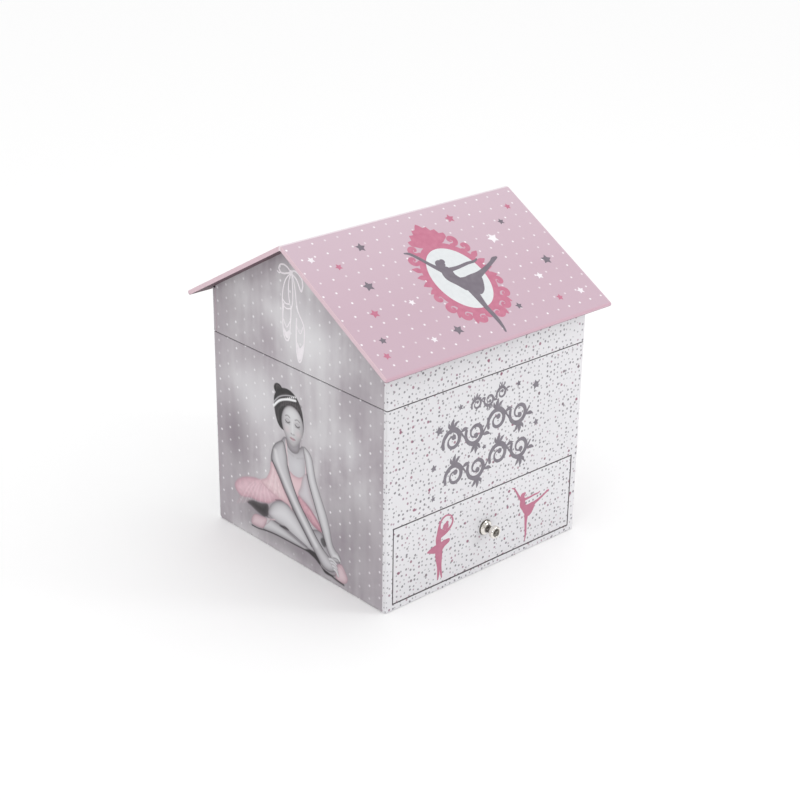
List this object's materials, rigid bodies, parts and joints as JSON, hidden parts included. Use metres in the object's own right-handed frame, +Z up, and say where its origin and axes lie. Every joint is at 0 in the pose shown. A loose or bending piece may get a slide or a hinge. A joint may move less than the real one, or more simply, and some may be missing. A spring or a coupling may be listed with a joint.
{
  "type": "musical jewellery box with dancer",
  "caption": "House-shaped musical jewellery box: hinged roof lid with mirror, front drawer with knob, lined trays and a dancer that turns on a wind-up movement.",
  "frame": {"origin": "centre of the base's underside, on the table", "axes": "+Z up, -Y towards the drawer's knob side, +X to the right seen from the drawer side; the lid's hinge is at +Y"},
  "size_m": [0.1698, 0.1773, 0.193],
  "materials": {
    "wall_print": "matt printed paper on greyboard, soft grey and mauve cloud print with a fine white dot grid",
    "front_print": "matt printed paper on greyboard, pale grey with small grey and rose flecks",
    "roof_print": "satin printed paper on greyboard, dusty pink with a fine white dot grid and small stars",
    "lining_paper": "matt pink lining paper on card",
    "base_paper": "matt grey paper on greyboard",
    "velvet": "short pile rose velvet",
    "tulle": "stiff pink tulle",
    "figure": "moulded plastic, painted",
    "turntable_plastic": "glossy moulded plastic",
    "nickel": "polished nickel plate",
    "steel": "drawn and ground steel",
    "zinc": "die cast plate with a light satin finish",
    "brass": "turned brass",
    "mirror_glass": "silvered glass with a ground edge"
  },
  "bodies": {
    "case": {"base_board": "base_paper", "left_wall": "wall_print", "right_wall": "wall_print", "back_wall": "front_print", "front_panel": "front_print", "shelf_board": "lining_paper", "drawer_runners": "base_paper", "stage_board": "lining_paper", "stage_front_board": "lining_paper", "stage_side_boards": "lining_paper", "long_divider": "lining_paper", "cross_divider": "lining_paper", "floor_pads": "velvet", "ring_rolls": "velvet", "case_hinge_leaves": "nickel", "case_hinge_rivets": "nickel", "hinge_pins": "steel", "movement_plate": "zinc", "movement_bridge": "zinc", "movement_pillars": "steel", "movement_screws": "steel", "tone_comb": "steel", "comb_screws": "steel", "stage_bush": "brass"},
    "lid": {"lid_front_wall": "front_print", "lid_back_wall": "front_print", "left_gable": "wall_print", "right_gable": "wall_print", "roof_front": "roof_print", "roof_back": "roof_print", "lid_ceiling": "lining_paper", "mirror": "mirror_glass", "lid_hinge_leaves": "nickel", "lid_hinge_rivets": "nickel", "lid_press_peg": "lining_paper"},
    "drawer": {"drawer_front": "front_print", "drawer_left_side": "lining_paper", "drawer_right_side": "lining_paper", "drawer_back": "lining_paper", "drawer_bottom": "lining_paper", "drawer_pad": "velvet", "drawer_knob": "nickel", "knob_screw": "steel"},
    "barrel": {"spring_barrel": "brass", "barrel_cover": "brass", "mainspring": "steel"},
    "key": {"winding_arbor": "steel", "winding_key": "nickel"},
    "cylinder": {"pinned_cylinder": "brass", "cylinder_gear": "brass"},
    "idler": {"idler_gear": "brass"},
    "fly": {"governor_fly": "brass"},
    "dancer": {"dancer_spindle": "steel", "turntable": "turntable_plastic", "dancer_spring": "steel", "dancer_figure": "figure", "dancer_tutu": "tulle"},
    "stop": {"stop_wire": "steel"}
  },
  "joints": [
    {"name": "lid_hinge", "type": "hinge", "parent": "case", "child": "lid", "pos_m": [0, 0.0762, 0.12], "axis": [-1, 0, 0], "range_deg": [0, 100]},
    {"name": "drawer_slide", "type": "slide", "parent": "case", "child": "drawer", "axis": [0, -1, 0], "range_m": [0, 0.1]},
    {"name": "key_turn", "type": "hinge", "parent": "case", "child": "key", "pos_m": [0, 0.06, 0.071], "axis": [0, 1, 0], "continuous": true},
    {"name": "barrel_spin", "type": "hinge", "parent": "case", "child": "barrel", "pos_m": [0, 0.06, 0.071], "axis": [0, 1, 0], "continuous": true},
    {"name": "cylinder_spin", "type": "hinge", "parent": "case", "child": "cylinder", "pos_m": [0.02, 0.06, 0.071], "axis": [0, 1, 0], "continuous": true},
    {"name": "idler_spin", "type": "hinge", "parent": "case", "child": "idler", "pos_m": [-0.0152, 0.06, 0.071], "axis": [0, 1, 0], "continuous": true},
    {"name": "fly_spin", "type": "hinge", "parent": "case", "child": "fly", "pos_m": [-0.028, 0.06, 0.071], "axis": [0, 1, 0], "continuous": true},
    {"name": "dancer_spin", "type": "hinge", "parent": "case", "child": "dancer", "pos_m": [0, 0.05007, 0.09], "axis": [0, 0, 1], "continuous": true},
    {"name": "stop_slide", "type": "slide", "parent": "case", "child": "stop", "axis": [0, 0, 1], "range_m": [0, 0.0031]}
  ],
  "couplings": [
    {"joint": "cylinder_spin", "follows": "barrel_spin", "ratio": -1.5},
    {"joint": "idler_spin", "follows": "barrel_spin", "ratio": -3.75},
    {"joint": "fly_spin", "follows": "barrel_spin", "ratio": 11.25},
    {"joint": "dancer_spin", "follows": "barrel_spin", "ratio": -3},
    {"joint": "stop_slide", "follows": "lid_hinge", "m_per_rad": 0.0017189}
  ]
}
